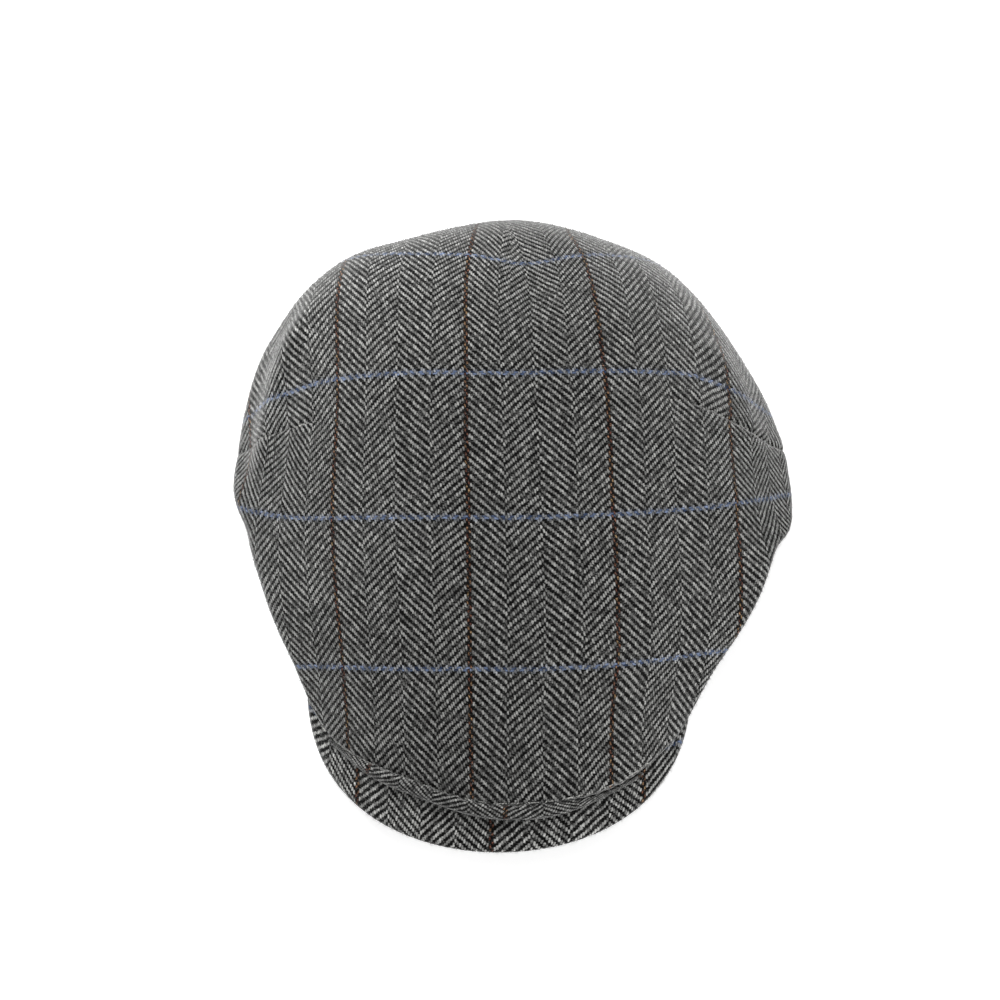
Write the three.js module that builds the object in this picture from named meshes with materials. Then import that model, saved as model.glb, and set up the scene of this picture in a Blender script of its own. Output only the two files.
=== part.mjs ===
// Flat cap in herringbone tweed: a one-piece crown shaped by three darts, a rolled strip along the crown's
// front edge and a stiff peak under it. Millimetres and degrees, +Z up. The peak points to -Y, the head
// opening faces down and the rim rests on z = 0.
import * as THREE from "three";

// Cloth and sewing
const CLOTH = 2;
const HEM = 4;
const SEAM_GAP = 0.3;

// Everything is placed from the crown's centre, seen from above. A direction there is 0 at the front, 90 at
// the right and 180 at the back.
const CROWN_CENTRE = { x: -2.5, y: 14.4 };

// How far the crown's top falls to each side of its middle line, in millimetres per square millimetre.
const CROSSFALL = 0.004;

// Middle line of the crown's top, from the front edge to the back.
const SPINE = [
  { behind: -140, height: 26 },
  { behind: -114, height: 39 },
  { behind: -80, height: 52 },
  { behind: -34, height: 66.5 },
  { behind: 7, height: 77.5 },
  { behind: 36, height: 83.5 },
  { behind: 70, height: 87 },
  { behind: 100, height: 88 },
  { behind: 135, height: 88 },
];

// The crown's outermost fold: its reach to the left and to the right, its height, and how square the cloth's
// shoulder above it is (2 is an ellipse).
const FOLD = [
  { direction: 0, left: 134.6, right: 134.6, height: 28, shoulder: 8 },
  { direction: 17, left: 127.5, right: 131.2, height: 22.5, shoulder: 7 },
  { direction: 34, left: 120.8, right: 119.6, height: 11.5, shoulder: 5 },
  { direction: 41, left: 116, right: 114, height: 10, shoulder: 4 },
  { direction: 47, left: 111.3, right: 110.6, height: 11.4, shoulder: 3.5 },
  { direction: 54, left: 107.5, right: 109.3, height: 13.5, shoulder: 3 },
  { direction: 70, left: 105, right: 110.5, height: 16, shoulder: 2.8 },
  { direction: 82, left: 106.4, right: 113, height: 15, shoulder: 2.8 },
  { direction: 87, left: 107.8, right: 118.5, height: 15, shoulder: 2.8 },
  { direction: 94, left: 113.4, right: 120.3, height: 15, shoulder: 2.8 },
  { direction: 98, left: 115.6, right: 121, height: 15, shoulder: 2.8 },
  { direction: 105, left: 117.2, right: 122, height: 16.5, shoulder: 2.85 },
  { direction: 114, left: 121.5, right: 123, height: 19, shoulder: 2.9 },
  { direction: 128, left: 129, right: 124, height: 24, shoulder: 3 },
  { direction: 146, left: 132, right: 128, height: 29, shoulder: 3 },
  { direction: 160, left: 124, right: 124, height: 32, shoulder: 3 },
  { direction: 180, left: 121.8, right: 121.8, height: 33, shoulder: 3 },
];

// In front the top slopes down to a crease instead, which becomes a round shoulder between these directions.
const CREASE = { power: 5, whole: 42, ends: 70 };

// Outside of the rim round the head opening.
const RIM = { aside: 0, behind: 6, halfWidth: 86, halfLength: 99 };

// The crown's lower edge leaves the front of the peak and becomes the rim between these directions.
const RIM_STARTS = 36;
const RIM_WHOLE = 62;

// It comes down from the peak to the floor between these directions.
const EDGE_FALLS = 56;
const EDGE_LEVEL = 95;

// How far the crown's front edge lies behind the fold above it.
const FRONT_TUCK = 1;

// The wall below the fold: how far it hangs straight, and how it runs into the edge.
const WALL = { hang: 0.7, tuckLeft: 0.4, heightLeft: 0.3 };

// Peak: a crescent between a round front edge and the head opening, arched from side to side.
const PEAK = {
  aside: -2.4,
  behind: -72,
  halfWidth: 77.2,
  halfLength: 78.8,
  frontHeight: 21,
  slope: 0.123,
  archRadius: 114,
  thickness: 3.6,
  hornDirection: 54,
};

// Rolled strip along the crown's front edge, thinning out to its ends.
const ROLL = { width: 4.8, height: 5.4, leftEnd: -35, rightEnd: 25, thinsFrom: 0.5, endShare: 0.2 };

// Darts: seams sewn down into the crown's top along its directions, from a share of the reach to the fold.
const DARTS = [
  { direction: -105.5, from: 0.69, depth: 0.8, halfWidth: 1.3 },
  { direction: 107, from: 0.7, depth: 0.8, halfWidth: 1.3 },
  { direction: 178, from: 0.72, depth: 0.4, halfWidth: 1.3 },
];

const COLOURS = { crown: 0x595958, roll: 0x525251, peak: 0x4c4c4b };

// How finely the pieces are divided.
const TOP_RINGS = 15;
const WALL_RINGS = 7;
const HEM_RING = TOP_RINGS + 2;
const COLUMN_STEP = 5;
const DART_STEP = 1.2;
const FRONT_COLUMNS = 44;
const PEAK_RINGS = 7;
const PEAK_EDGE_STEPS = 4;
const ROLL_SIDES = 10;

const radians = THREE.MathUtils.degToRad;
const lerp = THREE.MathUtils.lerp;
const smoothstep = THREE.MathUtils.smoothstep;

// A smooth curve through a table's rows, level at both ends when flatEnds is set.
function curveThrough(rows, key, column, flatEnds) {
  const x = rows.map((row) => row[key]);
  const y = rows.map((row) => row[column]);
  const last = x.length - 1;
  const slope = x.map((_, i) => {
    const before = Math.max(i - 1, 0);
    const after = Math.min(i + 1, last);
    const atEnd = i === 0 || i === last;
    return atEnd && flatEnds ? 0 : (y[after] - y[before]) / (x[after] - x[before]);
  });
  return (at) => {
    const p = THREE.MathUtils.clamp(at, x[0], x[last]);
    let i = 0;
    while (i < last - 1 && p > x[i + 1]) i += 1;
    const span = x[i + 1] - x[i];
    const s = (p - x[i]) / span;
    const fromStart = 1 - 3 * s * s + 2 * s * s * s;
    const startSlope = s * (1 - s) * (1 - s) * span;
    const endSlope = s * s * (s - 1) * span;
    return y[i] * fromStart + y[i + 1] * (1 - fromStart) + slope[i] * startSlope + slope[i + 1] * endSlope;
  };
}

const spineHeight = curveThrough(SPINE, "behind", "height", false);
const reachLeft = curveThrough(FOLD, "direction", "left", true);
const reachRight = curveThrough(FOLD, "direction", "right", true);
const foldHeight = curveThrough(FOLD, "direction", "height", true);
const shoulder = curveThrough(FOLD, "direction", "shoulder", true);

const foldReach = (direction) => (direction < 0 ? reachLeft(-direction) : reachRight(direction));

// Plan position at a distance from the crown's centre: to the right of it and behind it.
function planPoint(direction, distance) {
  const angle = radians(direction);
  return { aside: distance * Math.sin(angle), behind: -distance * Math.cos(angle) };
}

// The same place in the cap's frame.
const framePoint = ({ aside, behind }, height) => [CROWN_CENTRE.x + aside, CROWN_CENTRE.y + behind, height];

// Distance from the crown's centre, in a direction, to an ellipse round it.
function reachToEllipse(direction, { aside, behind, halfWidth, halfLength }) {
  const angle = radians(direction);
  const across = Math.sin(angle) / halfWidth;
  const along = -Math.cos(angle) / halfLength;
  const offset = { across: aside / halfWidth, along: behind / halfLength };
  const a = across * across + along * along;
  const b = offset.across * across + offset.along * along;
  const c = offset.across * offset.across + offset.along * offset.along - 1;
  return (b + Math.sqrt(b * b - a * c)) / a;
}

const rimReach = (direction) => reachToEllipse(direction, RIM);
const peakReach = (direction) => reachToEllipse(direction, PEAK);

// Height of the peak's upper side at a plan position.
function peakTop({ aside, behind }) {
  const fromFront = behind - (PEAK.behind - PEAK.halfLength);
  const fromMiddle = aside - PEAK.aside;
  return PEAK.frontHeight + PEAK.slope * fromFront - (fromMiddle * fromMiddle) / (2 * PEAK.archRadius);
}

// Depth of the dart seams at a place on the crown's top.
function dartDepth(direction, share, reach) {
  let depth = 0;
  for (const dart of DARTS) {
    const aside = Math.abs(direction - dart.direction);
    const offSeam = radians(Math.min(aside, 360 - aside)) * share * reach;
    const across = Math.max(0, 1 - offSeam / dart.halfWidth);
    depth += dart.depth * across * smoothstep(share, dart.from, 1);
  }
  return depth;
}

// Lower edge of the crown in a direction: it stands on the peak in front and on the floor as the rim behind.
function crownEdge(direction) {
  const aside = Math.abs(direction);
  const toRim = smoothstep(aside, RIM_STARTS, RIM_WHOLE);
  const reach = lerp(foldReach(direction) - FRONT_TUCK, rimReach(direction), toRim);
  const thickness = lerp(CLOTH, HEM, toRim);
  const onPeak = Math.max(
    peakTop(planPoint(direction, reach)),
    peakTop(planPoint(direction, reach - thickness)),
  );
  const height = (onPeak + SEAM_GAP) * (1 - smoothstep(aside, EDGE_FALLS, EDGE_LEVEL));
  return { reach, height, thickness };
}

// Outer outline of the crown in a direction, as distances and heights from the top to the lower edge.
function crownOutline(direction) {
  const reach = foldReach(direction);
  const low = foldHeight(Math.abs(direction));
  const power = shoulder(Math.abs(direction));
  const edge = crownEdge(direction);
  const topAt = ({ aside, behind }) => spineHeight(behind) - CROSSFALL * aside * aside;
  const aboveFold = topAt(planPoint(direction, reach)) - low;
  const toRound = smoothstep(Math.abs(direction), CREASE.whole, CREASE.ends);
  const outline = [];
  for (let i = 0; i <= TOP_RINGS; i++) {
    const share = Math.sin((Math.PI / 2) * (i / TOP_RINGS));
    const top = topAt(planPoint(direction, share * reach));
    const rise = Math.pow(Math.max(0, 1 - Math.pow(share, power)), 1 / power);
    const creased = top - aboveFold * Math.pow(share, CREASE.power);
    const surface = lerp(creased, low + (top - low) * rise, toRound);
    const sunk = dartDepth(direction, share, reach);
    outline.push(new THREE.Vector2(share * (reach - sunk), surface - sunk * rise));
  }
  const drop = low - edge.height;
  const tuck = reach - edge.reach;
  const wall = new THREE.CubicBezierCurve(
    outline[TOP_RINGS],
    new THREE.Vector2(outline[TOP_RINGS].x, low - WALL.hang * drop),
    new THREE.Vector2(edge.reach + WALL.tuckLeft * tuck, edge.height + WALL.heightLeft * drop),
    new THREE.Vector2(edge.reach, edge.height),
  );
  outline.push(...wall.getPoints(WALL_RINGS).slice(1));
  return { outline, edge };
}

// The same outline moved inwards by the cloth's thickness, doubled at the hem.
function liningSide({ outline, edge }) {
  const last = outline.length - 1;
  return outline.map((point, i) => {
    if (i === 0) return new THREE.Vector2(0, point.y - CLOTH);
    if (i === last) return new THREE.Vector2(edge.reach - edge.thickness, edge.height);
    const along = outline[i + 1].clone().sub(outline[i - 1]).normalize();
    const hemShare = smoothstep(i, HEM_RING, last);
    const thickness = lerp(CLOTH, edge.thickness, hemShare);
    return new THREE.Vector2(point.x + along.y * thickness, point.y - along.x * thickness);
  });
}

// Directions of the crown's columns: evenly round, with three at each dart.
function crownDirections() {
  const directions = [];
  for (let direction = -180; direction < 180; direction += COLUMN_STEP) directions.push(direction);
  const clear = directions.filter((direction) =>
    DARTS.every((dart) => {
      const aside = Math.abs(direction - dart.direction);
      return Math.min(aside, 360 - aside) > 2 * DART_STEP;
    }),
  );
  for (const dart of DARTS) {
    clear.push(dart.direction - DART_STEP, dart.direction, dart.direction + DART_STEP);
  }
  return clear.sort((a, b) => a - b);
}

function meshFrom(name, vertices, triangles, material) {
  const geometry = new THREE.BufferGeometry();
  geometry.setAttribute("position", new THREE.Float32BufferAttribute(vertices.flat(), 3));
  geometry.setIndex(triangles);
  geometry.computeVertexNormals();
  const mesh = new THREE.Mesh(geometry, material);
  mesh.name = name;
  return mesh;
}

// Two triangles for each cell of a grid of vertex numbers, rows joined to the next row.
function gridTriangles(rows, closed) {
  const triangles = [];
  for (let j = 0; j + 1 < rows.length + (closed ? 1 : 0); j++) {
    const near = rows[j];
    const far = rows[(j + 1) % rows.length];
    for (let i = 0; i + 1 < near.length; i++) {
      triangles.push(near[i], near[i + 1], far[i], far[i], near[i + 1], far[i + 1]);
    }
  }
  return triangles.filter((_, i, all) => {
    const first = i - (i % 3);
    const [a, b, c] = all.slice(first, first + 3);
    return a !== b && b !== c && a !== c;
  });
}

function makeCrown(material) {
  const vertices = [];
  const rows = [];
  const centre = planPoint(0, 0);
  let outerApex = -1;
  let innerApex = -1;
  for (const direction of crownDirections()) {
    const crown = crownOutline(direction);
    const inner = liningSide(crown);
    if (outerApex < 0) {
      outerApex = vertices.push(framePoint(centre, crown.outline[0].y)) - 1;
      innerApex = vertices.push(framePoint(centre, inner[0].y)) - 1;
    }
    const place = (point) => vertices.push(framePoint(planPoint(direction, point.x), point.y)) - 1;
    const down = crown.outline.slice(1).map(place);
    const up = inner.slice(1).reverse().map(place);
    rows.push([outerApex, ...down, ...up, innerApex]);
  }
  return meshFrom("crown", vertices, gridTriangles(rows, true), material);
}

// A closed solid swept through sections that are rings of points, capped flat at both ends.
function sweptSolid(name, sections, material) {
  const vertices = sections.flat();
  const size = sections[0].length;
  const rows = sections.map((section, j) => {
    const ring = section.map((_, i) => j * size + i);
    return [...ring, ring[0]];
  });
  const triangles = gridTriangles(rows, false);
  const lastRing = rows[rows.length - 1];
  for (let i = 1; i + 1 < size; i++) {
    triangles.push(rows[0][0], rows[0][i + 1], rows[0][i]);
    triangles.push(lastRing[0], lastRing[i], lastRing[i + 1]);
  }
  return meshFrom(name, vertices, triangles, material);
}

function makePeak(material) {
  const half = PEAK.thickness / 2;
  const sections = [];
  for (let j = 0; j <= FRONT_COLUMNS; j++) {
    const direction = lerp(-PEAK.hornDirection, PEAK.hornDirection, j / FRONT_COLUMNS);
    const inner = rimReach(direction) - HEM;
    const outer = peakReach(direction) - half;
    const section = [];
    const place = (distance, above) => {
      const plan = planPoint(direction, distance);
      section.push(framePoint(plan, peakTop(plan) - half + above));
    };
    for (let i = 0; i < PEAK_RINGS; i++) place(lerp(inner, outer, i / PEAK_RINGS), half);
    for (let i = 0; i <= PEAK_EDGE_STEPS; i++) {
      const turn = Math.PI * (0.5 - i / PEAK_EDGE_STEPS);
      place(outer + half * Math.cos(turn), half * Math.sin(turn));
    }
    for (let i = PEAK_RINGS - 1; i >= 0; i--) place(lerp(inner, outer, i / PEAK_RINGS), -half);
    sections.push(section);
  }
  return sweptSolid("peak", sections, material);
}

function makeFrontRoll(material) {
  const sections = [];
  for (let j = 0; j <= FRONT_COLUMNS; j++) {
    const along = j / FRONT_COLUMNS;
    const direction = lerp(ROLL.leftEnd, ROLL.rightEnd, along);
    const towardEnd = Math.abs(2 * along - 1);
    const size = lerp(1, ROLL.endShare, smoothstep(towardEnd, ROLL.thinsFrom, 1));
    const halfWidth = (ROLL.width / 2) * size;
    const halfHeight = (ROLL.height / 2) * size;
    const centre = foldReach(direction) + SEAM_GAP + halfWidth;
    const section = [];
    for (let i = 0; i < ROLL_SIDES; i++) {
      const turn = (2 * Math.PI * i) / ROLL_SIDES;
      const plan = planPoint(direction, centre + halfWidth * Math.sin(turn));
      const above = SEAM_GAP + halfHeight + halfHeight * Math.cos(turn);
      section.push(framePoint(plan, peakTop(plan) + above));
    }
    sections.push(section);
  }
  return sweptSolid("front_roll", sections, material);
}

const tweed = (color) => new THREE.MeshStandardMaterial({ color, roughness: 0.95, metalness: 0 });

const cap = new THREE.Group();
cap.add(makeCrown(tweed(COLOURS.crown)));
cap.add(makeFrontRoll(tweed(COLOURS.roll)));
cap.add(makePeak(tweed(COLOURS.peak)));

export default cap;
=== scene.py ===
"""Flat cap in herringbone tweed: the looks of its crown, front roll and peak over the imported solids."""

import bpy
import numpy as np
from bpy.props import FloatProperty, FloatVectorProperty, IntProperty, PointerProperty
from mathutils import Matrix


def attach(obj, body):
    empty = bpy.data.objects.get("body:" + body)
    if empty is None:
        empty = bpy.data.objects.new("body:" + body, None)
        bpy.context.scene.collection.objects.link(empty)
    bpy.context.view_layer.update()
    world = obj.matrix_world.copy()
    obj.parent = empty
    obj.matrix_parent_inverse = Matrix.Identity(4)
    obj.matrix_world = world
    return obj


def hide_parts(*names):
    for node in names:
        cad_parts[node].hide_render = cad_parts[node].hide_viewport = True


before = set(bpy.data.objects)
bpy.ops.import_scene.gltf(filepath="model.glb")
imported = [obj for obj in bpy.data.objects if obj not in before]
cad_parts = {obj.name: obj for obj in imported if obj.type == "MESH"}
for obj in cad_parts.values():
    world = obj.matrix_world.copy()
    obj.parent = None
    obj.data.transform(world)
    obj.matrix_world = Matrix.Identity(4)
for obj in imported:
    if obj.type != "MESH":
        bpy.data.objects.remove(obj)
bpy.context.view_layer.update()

bl_info = {
    "name": "Herringbone flat cap",
    "version": (1, 0, 0),
    "blender": (4, 5, 0),
    "location": "View3D > Sidebar > Flat cap",
    "description": "Builds the cloth, seams and wool nap of a tweed flat cap over its solids",
    "category": "Object",
}

MM = 0.001

# The crown's centre seen from above, counted to the right of the origin and behind it. A direction from
# there is 0 at the front, 90 at the right and 180 at the back. Sizes in these tables are millimetres.
CENTRE_X = -2.5
CENTRE_Y = 14.4

# How far the crown's top falls to each side of its middle line, per square millimetre.
CROSSFALL = 0.004

# Middle line of the crown's top, from the front edge to the back.
SPINE = {
    "behind": (-140, -114, -80, -34, 7, 36, 70, 100, 135),
    "height": (26, 39, 52, 66.5, 77.5, 83.5, 87, 88, 88),
}

# The crown's outermost fold: its reach on both sides, its height and how square the shoulder above it is.
FOLD = {
    "direction": (0, 17, 34, 41, 47, 54, 70, 82, 87, 94, 98, 105, 114, 128, 146, 160, 180),
    "left": (
        134.6, 127.5, 120.8, 116, 111.3, 107.5, 105, 106.4, 107.8,
        113.4, 115.6, 117.2, 121.5, 129, 132, 124, 121.8,
    ),
    "right": (
        134.6, 131.2, 119.6, 114, 110.6, 109.3, 110.5, 113, 118.5,
        120.3, 121, 122, 123, 124, 128, 124, 121.8,
    ),
    "height": (28, 22.5, 11.5, 10, 11.4, 13.5, 16, 15, 15, 15, 15, 16.5, 19, 24, 29, 32, 33),
    "shoulder": (8, 7, 5, 4, 3.5, 3, 2.8, 2.8, 2.8, 2.8, 2.8, 2.85, 2.9, 3, 3, 3, 3),
}

# In front the top slopes down to a crease instead, which becomes a round shoulder between these directions.
CREASE_POWER = 5
CREASE_WHOLE, CREASE_ENDS = 42, 70

# Outside of the rim round the head opening, and the directions between which the crown's edge becomes the
# rim and comes down to the floor.
RIM = {"aside": 0, "behind": 6, "half_width": 86, "half_length": 99}
RIM_STARTS, RIM_WHOLE = 36, 62
EDGE_FALLS, EDGE_LEVEL = 56, 95

# The front edge is tucked back under the crease. Behind it the wall hangs from the fold for a share of its
# drop and then turns in to the rim, with these shares of its tuck and its drop left.
FRONT_TUCK = 1
WALL_HANG, WALL_TUCK_LEFT, WALL_HEIGHT_LEFT = 0.7, 0.4, 0.3

# The peak's oval seen from above, the height of its front edge, its rise towards the crown, the radius of
# its arch from side to side, its thickness, and the direction in which each of its horns ends.
PEAK = {"aside": -2.4, "behind": -72, "half_width": 77.2, "half_length": 78.8}
PEAK_FRONT_HEIGHT = 21
PEAK_SLOPE = 0.123
PEAK_ARCH_RADIUS = 114
PEAK_THICKNESS = 3.6
PEAK_HORN = 54

# The front roll's section and the directions of its ends. Between these shares of its half length it thins
# to a share of its size.
ROLL_WIDTH, ROLL_HEIGHT = 4.8, 5.4
ROLL_LEFT_END, ROLL_RIGHT_END = -35, 25
ROLL_THINS_LEFT, ROLL_THINS_RIGHT, ROLL_END_SHARE = (0.5, 1), (0.3, 0.85), 0.2

# How square the roll is where it is sewn up against the crown, and how its own cloth lies.
ROLL_SQUARED = 0.45
ROLL_GATHER, ROLL_GATHER_ROUND, ROLL_CHECK_BEHIND = 1.06, 1.6, 20

# Between these directions the roll turns from round to flat: a ramp from the crown down to the peak.
ROLL_FLATTENS = (-14, 4)
ROLL_RAMP, ROLL_FOOT = 1.8, 0.5

# Stitches pinch the roll by this share, at a turn from its top and over a width in radians.
ROLL_PINCH, ROLL_PINCH_AT, ROLL_PINCH_WIDTH = 0.3, -0.8, 0.6

# Pieces that are sewn together lie this far apart.
SEAM_GAP = 0.3

# Where a rust and a blue line cross on the peak, from its middle line and the crown's centre, and how far
# the cloth is gathered on its left and stretched on its right. Its wefts bow by these shares of the cubed
# distance. Its warp is painted lighter by this factor: partly stretched cloth showing more warp, partly
# painted light that the peak catches in front of the crown.
PEAK_CHECK_ASIDE, PEAK_CHECK_BEHIND = 2.9, -114
PEAK_GATHER, PEAK_GATHER_SKEW, PEAK_GATHER_OVER = 1.042, 0.068, 30
PEAK_BOW_LEFT, PEAK_BOW_RIGHT = 6.5e-5, 4.7e-5
PEAK_PAINTED_LIGHT = 1.32

# Threads pulled up along the front seam between two directions, and along a dart to a share of the reach to
# the fold, where they are this many times as far apart, and how far below its upper edge the hem is
# stitched.
FRONT_BEADS = (-40, 26)
FRONT_BEAD_LIFT = 0.3
DART_BEADS_END, DART_BEADS_APART = 1.05, 2
HEM_STITCH_IN = 3

# Rows along the seams: the length and width of a bead, how far it leans to either side in radians, and the
# share of the places that have one. Beads vary in size between these shares.
SEAM_ROWS = {
    "front_seam_floats": (1.3, 0.5, 0.9, 0.7),
    "dart_floats": (1.2, 0.8, 1.2, 0.6),
    "hem_stitches": (3, 0.5, 0.3, 1),
}
BEAD_VARIES = (0.6, 1.2)

# Loose fibres lean over by these angles from upright, in radians, and vary in length between these shares.
NAP_LEAN = (0.4, 1.35)
NAP_VARIES = (0.4, 1.6)

# No fibre grows lower than this over the floor, which the longest would reach.
NAP_CLEAR = 3

# Distances over which loose wool and sewing thread turn from pale to dark, and how many times darker the
# thread gets.
WOOL_GRAIN, THREAD_GRAIN = 1.5, 0.5
THREAD_DARKENS = 3

# Threads of the tweed waver, over a first distance by up to half of a second one.
THREAD_WAVER = ((5, 0.9), (1.1, 0.95))

# Distances over which the threads' felted edges, the flecks in them and the cloth's mottling change, and
# how deep the weave's bump is.
FELT_GRAIN, FLECK_GRAIN, MOTTLE_GRAIN = 0.5, 0.8, 7
WEAVE_BUMP = 0.3

# A thread lies round: how far its twist leans it, how far it falls to its sides and to a float's ends, how
# ragged felting makes it, and how high its lowest part still is. The height gives the bump and, multiplied
# into the colour, painted shade in the hollows.
TWIST_LEAN, SIDE_FALL, END_FALL = 0.3, 0.55, 0.4
FELT_RAGGED, LEAST_HEIGHT = 1.6, 0.08

# Grey wool shows in the weft by its ragged edges and float by float, less a share that is held back. Rust
# ends are narrowed by a power of their height, and warp beside a blue line takes this share of slate.
GREY_BY_EDGE, GREY_BY_FLOAT, GREY_HELD_BACK = 4, 1.3, 1.1
RUST_NARROWS, BLUE_HAZE = 3, 0.25

# How much floats differ beside the flecks in them, how strong and how dark that is made, the least and the
# further light of the mottling, and how the painted sheen rises towards grazing angles: a pale colour mixed
# into the tweed where the surface is seen edge-on, for the sheen of loose fibre.
FLOATS_DIFFER, FLECK_CONTRAST, FLECK_DARKENS = 0.7, 1.6, 0.36
MOTTLE_LEAST, MOTTLE_MORE = 0.75, 0.5
PAINTED_SHEEN_RISE, PAINTED_SHEEN_HELD_BACK = 0.8, 0.4

# Softboxes: where each stands in metres, how wide it is, and its share of the key's power.
SOFTBOXES = {
    "back_softbox": ((-0.4, 0.95, 0.7), 1.4, 1.12),
    "left_softbox": ((-1, 0, 0.3), 0.8, 0.1),
    "right_softbox": ((1, -0.5, 0.2), 0.8, 0.42),
}

# Half the width of the floor, in metres.
FLOOR_HALF = 3

# How finely the crown is divided: points along an outline's top and wall, rows of the mesh, of which the
# inside has every third, and degrees between columns, which are closer together along the front.
OUTLINE_POINTS, WALL_POINTS = 400, 80
CROWN_ROWS = 112
INSIDE_STEP = 3
COLUMN_STEP, FRONT_STEP, FRONT_SPAN = 1.2, 0.5, 48

# Columns at a dart, in degrees from its seam, and how far the common ones stay clear of it.
DART_COLUMNS = (-1.2, -0.9, -0.65, -0.45, -0.25, 0, 0.25, 0.45, 0.65, 0.9, 1.2)
DART_COLUMNS_CLEAR = 1.6

# How finely the front roll, the peak and the row along the front seam are divided.
ROLL_COLUMNS, ROLL_POINTS = 241, 29
PEAK_COLUMNS, PEAK_ROWS, PEAK_EDGE_POINTS = 181, 41, 13
FRONT_BEAD_POINTS = 200

# How far the hem is rounded, in how many points, and over what length its upper edge steps in.
HEM_ROUND = 1.2
HEM_POINTS = 7
HEM_STEP = 1

# Darts: their direction at the fold, how far they slant from it at their tip, where they start as a share
# of the reach to the fold, where the cloth begins to be pulled and is taken in whole, how much of it is
# taken in on the two sides in rising direction, and how deep the seam is beside the others.
DARTS = {
    "direction": (-103.6, 104.4, -178.8),
    "slant": (-2.8, 8, -3),
    "start": (0.69, 0.6, 0.72),
    "pulls_from": (0.7, 0.7, 0.5),
    "open_at": (1.25, 1.25, 1.08),
    "before": (13, 3.5, 6),
    "after": (11, 21, 6),
    "depth": (0.5, 1, 0.35),
}

# Degrees over which a dart pulls the cloth and bends its columns, and the share of the reach where the
# slant has gone.
DART_PULL = 40
DART_BEND = 30
DART_SLANT_ENDS = 1.12

# Relief along a dart: the length over which its seam sinks in, the seam's half width and how sharp it is,
# the swell of the cloth beside it, the ripple of its stitches and the dimple at its tip.
DART_SINKS_OVER = 14
DART_SEAM_HALF, DART_SEAM_POWER = 1.5, 1.5
DART_SWELL = {"share": 0.5, "off": 5, "width": 3}
DART_RIPPLE = {"height": 0.2, "span": 1.1, "width": 2.5}
DART_DIMPLE = {"depth": 0.7, "spread": 40}

# Slow ripples of loose cloth: their height, the distances from the centre between which they begin, and the
# span, turns and shift of the two waves that make them.
RIPPLE_HEIGHT, RIPPLE_BEGINS = 0.35, (20, 70)
RIPPLES = ((19, 3, 0), (31, 5, 2))

# Slack cloth over the back dart: its direction, width in degrees and fullness, the shares of the way to the
# fold between which it begins, and how far below the fold it ends.
BACK_SLACK = {"direction": 178, "width": 11, "fullness": 1.6, "begins": 0.5, "whole": 0.85, "ends": 30}

# At each side the cloth drops from a soft edge to a shelf, at these shares of the reach between two
# directions. The shelf is sunk by a share of the edge's fullness, and both fade out over some degrees.
TIERS = {"from": (-140, 94), "to": (-90, 132), "fullness": (2.2, 1)}
TIER_EDGE, TIER_SHELF, TIER_WIDTH = 0.87, 0.965, 0.05
TIER_SUNK, TIER_FADES = 0.8, 12

# Puckers of the front seam: the share by which they rise between stitches, how far they reach in from the
# seam, the degrees past and short of the roll's end between which they fade, and how unevenly they are set
# by two slow waves of a height, span and shift.
PUCKER_RISE, PUCKER_REACH = 0.6, 4.5
PUCKER_PAST, PUCKER_SHORT = 2, 4
PUCKER_UNEVEN = ((0.9, 17, 0), (0.6, 7.3, 1))

# How the cloth lies on the crown. A rust and a blue line cross at this place, and the rust line drifts
# aside going back. Going back over the crown, each weft bows by these shares of the squared distance aside,
# and the warp is gathered by these factors, with a blend from left to right beside the rust line. The back
# dart pulls the weft forward in a dimple.
CHECK_ASIDE, CHECK_BEHIND, CHECK_DRIFT = -15.3, -33, -0.013
SIDES_BLEND = 25
WEFT_BOW = {
    "behind": (-92, -32, 25.5, 86),
    "left": (0.0012, 0.0021, 0.00255, 0.0051),
    "right": (0.00195, 0.00275, 0.0032, 0.0051),
}
BOW_EASES = 280
BOW_STEPS = 16
DIMPLE = {"aside": 10, "width": 18, "pull": 6, "begins": 45, "whole": 85}
WARP_GATHER = {
    "behind": (-115, -80, -25, 35, 86, 110),
    "left": (1.07, 1.05, 0.98, 1.08, 1.06, 1.065),
    "right": (1.04, 0.98, 1.02, 1.1, 1.19, 1.28),
    "skew": (0, 0, 0.03, 0.05, 0.06, 0.06),
}
GATHER_SPAN = 100

# Cloth that the drop at the left side takes up, and where it begins and ends aside and behind.
DROP_TAKES = 3.5
DROP_ASIDE, DROP_BEHIND = (90, 106), (-10, 20)

# The right side falls steeply, so more cloth lies there beyond a place across it, by this share of the
# squared distance. The fall begins between these places behind.
FALL_FROM, FALL_SHARE, FALL_BEHIND = 112, 0.022, (-35, 5)

# Kinds of node that the tweed uses most.
MATH, VECTOR, MIX = "ShaderNodeMath", "ShaderNodeVectorMath", "ShaderNodeMix"


def to_linear(hex_colour):
    """Linear RGB of an sRGB hex colour."""
    parts = [int(hex_colour[i : i + 2], 16) / 255 for i in (1, 3, 5)]
    return tuple(p / 12.92 if p <= 0.04045 else ((p + 0.055) / 1.055) ** 2.4 for p in parts)


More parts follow.
